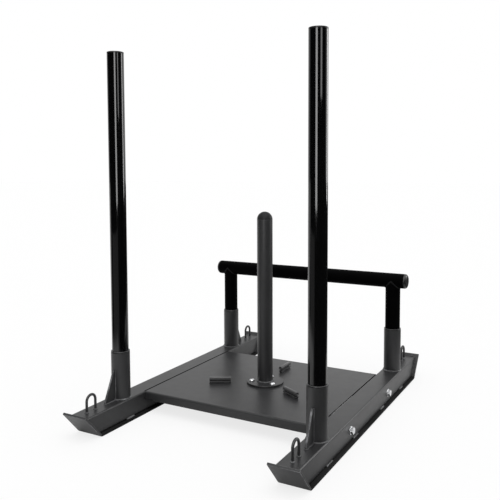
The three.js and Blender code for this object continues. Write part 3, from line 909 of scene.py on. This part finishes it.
# Tow eyes: 8 mm round rod bent to a staple and welded by both feet near each tip of the runners.
# The rod is cut, bent cold round a pin and coated with the frame.
eye_low, eye_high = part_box("rear_right_tow_eye")
rod_radius = (eye_high.x - eye_low.x) / 2
rod_sides = 32
eye_y = (eye_low.y + eye_high.y) / 2
eye_bend = (eye_high.y - eye_low.y) / 2 - rod_radius
eye_level = eye_high.z - rod_radius - eye_bend
for corner, across, along in four_corners:
    line = [(eye_bend, eye_low.z), (eye_bend, eye_level)]
    line += [(eye_bend * math.cos(angle), eye_level + eye_bend * math.sin(angle))
             for angle in spread(0, math.pi, rod_sides)][1:]
    line.append((-eye_bend, eye_low.z))
    loops = []
    for index, (y, z) in enumerate(line):
        angle = math.pi * min(max((index - 1) / rod_sides, 0), 1)
        out = Vector((0, math.cos(angle), math.sin(angle)))
        loops.append([Vector((rod_radius * math.sin(turn), y, z)) + out * rod_radius * math.cos(turn)
                      for turn in spread(0, math.tau, rod_sides)[:-1]])
    stand = Matrix.Translation((across * runner_x, along * eye_y, 0))
    eye = formed(soften(skin(loops), 0.4 * MM), f"towing_eye_{corner}", stand)
    fitted(eye, frame_coat, f"{corner}_tow_eye")
    feet = [foot_run(stand @ Matrix.Translation((0, leg * eye_bend, 0)), rod_radius, 0.3 * MM,
                     runner_top + 0.7 * MM, 24) for leg in (-1, 1)]
    # The feet of the eyes are painted lighter: a painted highlight, with some worn paint.
    weld(f"tow_eye_welds_{corner}", feet, 5.4 * MM, wear_and_highlight=4)


# Weight post: round tube welded to a round flange, with a domed cap pressed in its top. Three zinc button
# head bolts with nuts under the deck hold the flange down.
flange_low, flange_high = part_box("weight_post_flange")
flange_radius = flange_high.x
post_low, post_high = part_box("weight_post")
post_radius = post_high.x
post_wall = 3 * MM
cap_low, cap_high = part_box("weight_post_cap")
shape = turned([(0, flange_low.z), (flange_radius, flange_low.z), (flange_radius, flange_high.z),
                (0, flange_high.z)])
flange = formed(soften(shape, 0.9 * MM), "post_flange")
drill(flange, post_hole, drill_length, [on_ray(angle, bolt_circle, flange_high.z)
                                        for angle in rays_round_post.values()])
fitted(flange, frame_coat, "weight_post_flange")
post = formed(soften(round_tube(post_radius, post_wall, post_low.z, post_high.z), 0.4 * MM), "post_tube")
fitted(post, frame_coat, "weight_post")
dome_base = post_high.z + fit_gap
plug_radius = post_radius - post_wall - fit_gap
profile = [(0, cap_low.z), (plug_radius, cap_low.z), (plug_radius, dome_base)]
profile += [(post_radius * math.cos(angle), dome_base + (cap_high.z - dome_base) * math.sin(angle))
            for angle in spread(0, math.radians(88), 28)]
post_cap = formed(soften(turned(profile + [(0, cap_high.z)]), 0.3 * MM), "post_dome")
fitted(post_cap, powder_coat("cap_powder_coat", shine=0.1), "weight_post_cap")
weld("post_weld", [foot_run(Matrix(), post_radius, bead_gap, flange_high.z + bead_lift)], 6 * MM)

nut_low, nut_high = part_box("rear_post_nut")
post_bolt_radius = 5 * MM
post_bolt_pitch = 1.5 * MM
post_nut_flats = 17 * MM
head_base = flange_high.z + fit_gap
head_radius = (screw_high.x - screw_low.x) / 2
head_height = 5.5 * MM
key_flats = 6 * MM
key_depth = 3 * MM
key_floor = head_base + head_height - key_depth
key = hexagon(key_flats)


def dome_level(angle):
    """The height of a button head's dome at the rim of its key socket."""
    return head_base + head_height * math.sqrt(max(1 - (key(angle) / head_radius) ** 2, 0))


for ray, angle in rays_round_post.items():
    loops = shank(post_bolt_radius, post_bolt_pitch, screw_low.z, head_base - 2 * MM, head_base)
    loops += [ring(head_radius * math.cos(bend), head_base + head_height * math.sin(bend), screw_sides)
              for bend in spread(0, math.radians(62), 14)]
    loops += [round_points(key, dome_level), round_points(key, lambda turn: key_floor)]
    loops.append(ring(0, key_floor - MM))
    shape = soften(skin(loops), 0.25 * MM, where=lambda point: point.z > head_base - MM / 100)
    stand = on_ray(angle, bolt_circle, 0)
    fitted(formed(shape, f"flange_bolt_{ray}", stand), zinc, f"{ray}_post_bolt")
    shape = hexagon_nut(post_nut_flats, post_hole / 2, nut_low.z, nut_high.z)
    fitted(formed(shape, f"flange_nut_{ray}", stand), zinc, f"{ray}_post_nut")


# Plate rests: three short steel bars that stand on edge like spokes, tacked along both sides, and carry
# the weight plates clear of the bolts. A black rubber trim grips the top of each, a hollow bulb on a clip.
rest_low, rest_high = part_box("rear_plate_rest")
rest_half = (rest_high.x - rest_low.x) / 2
rest_web = 3.2 * MM
rest_web_top = rest_high.z - 13.8 * MM
trim_round = 4.4 * MM
trim_low = rest_high.z - 9.8 * MM
trim_neck = 1.2 * MM
trim_clip = rest_high.z - 12.8 * MM
trim_foot = rest_high.z - 17.6 * MM
trim_flank = rest_half - 0.6 * MM
trim_hollow = 5.6 * MM
trim_gap = 0.1 * MM
bulb_middle = ((rest_low.y + rest_high.y) / 2, 0, (rest_high.z + trim_low) / 2)
# The trim's neck between its clip and its bulb gets painted shade.
rubber = moulded_plastic("black_rubber", 0.05, (trim_clip, trim_low))
for ray, angle in rays_round_post.items():
    stand = on_ray(angle, 0, 0)
    shape = skin([[(x, -rest_web, rest_low.z), (x, rest_web, rest_low.z), (x, rest_web, rest_web_top),
                   (x, -rest_web, rest_web_top)] for x in (rest_low.y, rest_high.y)])
    rest = formed(soften(shape, 0.5 * MM), f"rest_bar_{ray}", stand)
    fitted(rest, frame_coat, f"{ray}_plate_rest")
    tacks = []
    for face in (-1, 1):
        for x in (rest_low.y + 15 * MM, rest_high.y - 15 * MM):
            foot = stand @ Vector((x, face * (rest_web + 0.4 * MM), rest_low.z + 0.6 * MM))
            way = stand.to_3x3() @ Vector((8 * MM, 0, 0))
            facing = stand.to_3x3() @ Vector((0, face, 1))
            tacks.append([(foot - way, facing), (foot + way, facing)])
    weld(f"rest_tacks_{ray}", tacks, 3.4 * MM)

    right = [(rest_web + trim_gap, rest_web_top + trim_gap), (rest_web + trim_gap, trim_foot),
             (trim_flank, trim_foot), (trim_flank, trim_clip), (trim_neck, trim_clip),
             (trim_neck, trim_low), (rest_half, trim_low), *round_corner(rest_half, rest_high.z, trim_round)]
    outline = right + [(-y, z) for y, z in reversed(right)]
    shape = skin([[(x, y, z) for y, z in outline] for x in (rest_low.y + 0.2 * MM, rest_high.y - 0.2 * MM)])
    trim = formed(soften(shape, 0.3 * MM), f"rest_trim_{ray}", stand)
    drill(trim, trim_hollow, 100 * MM, [stand @ Matrix.Translation(bulb_middle) @ turn_along_x])
    trim.data.materials.append(rubber)
    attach(trim, "frame")


# Tall poles: round steel tube in smooth gloss black, closed at the top by a flat black plug. They stand in
# the front sockets, where the bush rubs faint lines into the paint when they are lifted out.
paint_black = ((0.0004, 0.0004, 0.0005, 1), (0.0014, 0.0014, 0.0016, 1))


def rub_marks(place):
    """Hairlines along a pole, below the collar's top."""
    lengthwise = place.recipe.node("ShaderNodeMapping", {}, {"Vector": place, "Scale": (1400, 1400, 9)})
    low = place.part("Z").between(bush_high.z + 4 * MM, bush_high.z - 4 * MM)
    return low * noise(lengthwise, 1, 2).between(0.52, 0.66)


def gloss_paint(name):
    """Gloss black stove enamel with hairline rub marks."""
    finish, enamel, place = new_finish(name)
    cloud = noise(place, 14, 3)
    rub = rub_marks(place)
    colour = enamel.blend(rub * 0.5, enamel.blend(cloud, *paint_black), (0.03, 0.03, 0.031, 1))
    return finished(finish, bumped(noise(place, 240, 1), 0.04, 0.02 * MM, {
        "Base Color": colour, "Roughness": 0.07 + cloud * 0.03 + rub * 0.25}))


pole_low, pole_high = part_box("right_tall_pole")
pole_radius = (pole_high.x - pole_low.x) / 2
pole_wall = 2 * MM
pole_bore = pole_radius - pole_wall
lid_low, lid_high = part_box("right_tall_pole_cap")
plug = pole_bore - fit_gap
lid_base = pole_high.z + fit_gap
enamel_black = gloss_paint("gloss_black_enamel")
stopper = moulded_plastic("cap_plastic", 0.006)
for side, across in sides.items():
    stand = Matrix.Translation((across * runner_x, -socket_y, 0))
    shape = soften(round_tube(pole_radius, pole_wall, pole_low.z, pole_high.z), 0.4 * MM)
    fitted(formed(shape, f"push_pole_{side}", stand), enamel_black,
           f"{side}_tall_pole", f"{side}_pole")
    profile = [(0, lid_low.z), (plug, lid_low.z), (plug, lid_base), (pole_radius, lid_base),
               (pole_radius, lid_high.z), (0, lid_high.z)]
    lid = formed(soften(turned(profile), 0.9 * MM), f"pole_plug_{side}", stand)
    fitted(lid, stopper, f"{side}_tall_pole_cap", f"{side}_pole")


# Low push bar: a cross tube with two coped uprights welded to it, finished in plain dull black, with a
# round-edged plug in each end of the cross tube. The uprights stand in the rear sockets.
def dull_paint(name):
    """Near-black paint with little shine, rubbed like the poles."""
    finish, paint, place = new_finish(name)
    cloud = noise(place, 20, 3)
    worn = (rub_marks(place) * 0.5).larger(marked(paint, "edge") * 0.2)
    colour = paint.blend(worn, paint.blend(cloud, *paint_black), (0.025, 0.025, 0.026, 1))
    return finished(finish, bumped(noise(place, 700, 1), 0.25, 0.04 * MM, {
        "Base Color": colour, "Roughness": 0.5 + cloud * 0.1, "Specular IOR Level": 0.02}))


dull_black = dull_paint("dull_black_paint")
bar_low, bar_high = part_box("push_bar_cross_tube")
bar_radius = (bar_high.z - bar_low.z) / 2
bar_level = (bar_low.z + bar_high.z) / 2
bar_half = bar_high.x
upright_low, upright_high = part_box("push_bar_right_upright")
bar_cap_low, bar_cap_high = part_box("push_bar_right_cap")
lid_start = bar_half + fit_gap
lid_round = 8 * MM
along_bar = Matrix.Translation((0, socket_y, bar_level))


def saddle(reach, gap):
    """A ring round an upright where it meets the cross tube, with a gap between them."""
    return round_points(lambda angle: reach, lambda angle: bar_level - math.sqrt(
        max((bar_radius + gap) ** 2 - (reach * math.sin(angle)) ** 2, 0)), round_sides)


shape = soften(round_tube(bar_radius, pole_wall, -bar_half, bar_half), 0.4 * MM)
bar = formed(shape, "bar_tube", along_bar @ turn_along_x)
fitted(bar, dull_black, "push_bar_cross_tube", "push_bar")
for side, across in sides.items():
    loops = [ring(pole_bore, upright_low.z), ring(pole_radius, upright_low.z)]
    loops += [saddle(pole_radius, fit_gap), saddle(pole_bore, fit_gap)]
    stand = Matrix.Translation((across * runner_x, socket_y, 0))
    shape = soften(skin(loops, closed=True), 0.3 * MM, steps=2)
    fitted(formed(shape, f"bar_upright_{side}", stand), dull_black,
           f"push_bar_{side}_upright", "push_bar")

    run = []
    for x, y, z in saddle(pole_radius, 0):
        facing = Vector((x, y, 0)) / pole_radius + Vector((0, y, z - bar_level)) / bar_radius
        run.append((stand @ Vector((x, y, z)), facing))
    weld(f"bar_weld_{side}", [run + run[:1]], 5.5 * MM, dull_black, "push_bar")

    profile = [(0, bar_cap_low.x), (plug, bar_cap_low.x), (plug, lid_start), (bar_radius, lid_start)]
    profile += round_corner(bar_radius, bar_cap_high.x, lid_round, 14) + [(0, bar_cap_high.x)]
    lid = formed(soften(turned(profile), 0.3 * MM), f"bar_plug_{side}",
                 along_bar @ Matrix.Rotation(across * right_angle, 4, "Y"))
    fitted(lid, stopper, f"push_bar_{side}_cap", "push_bar")
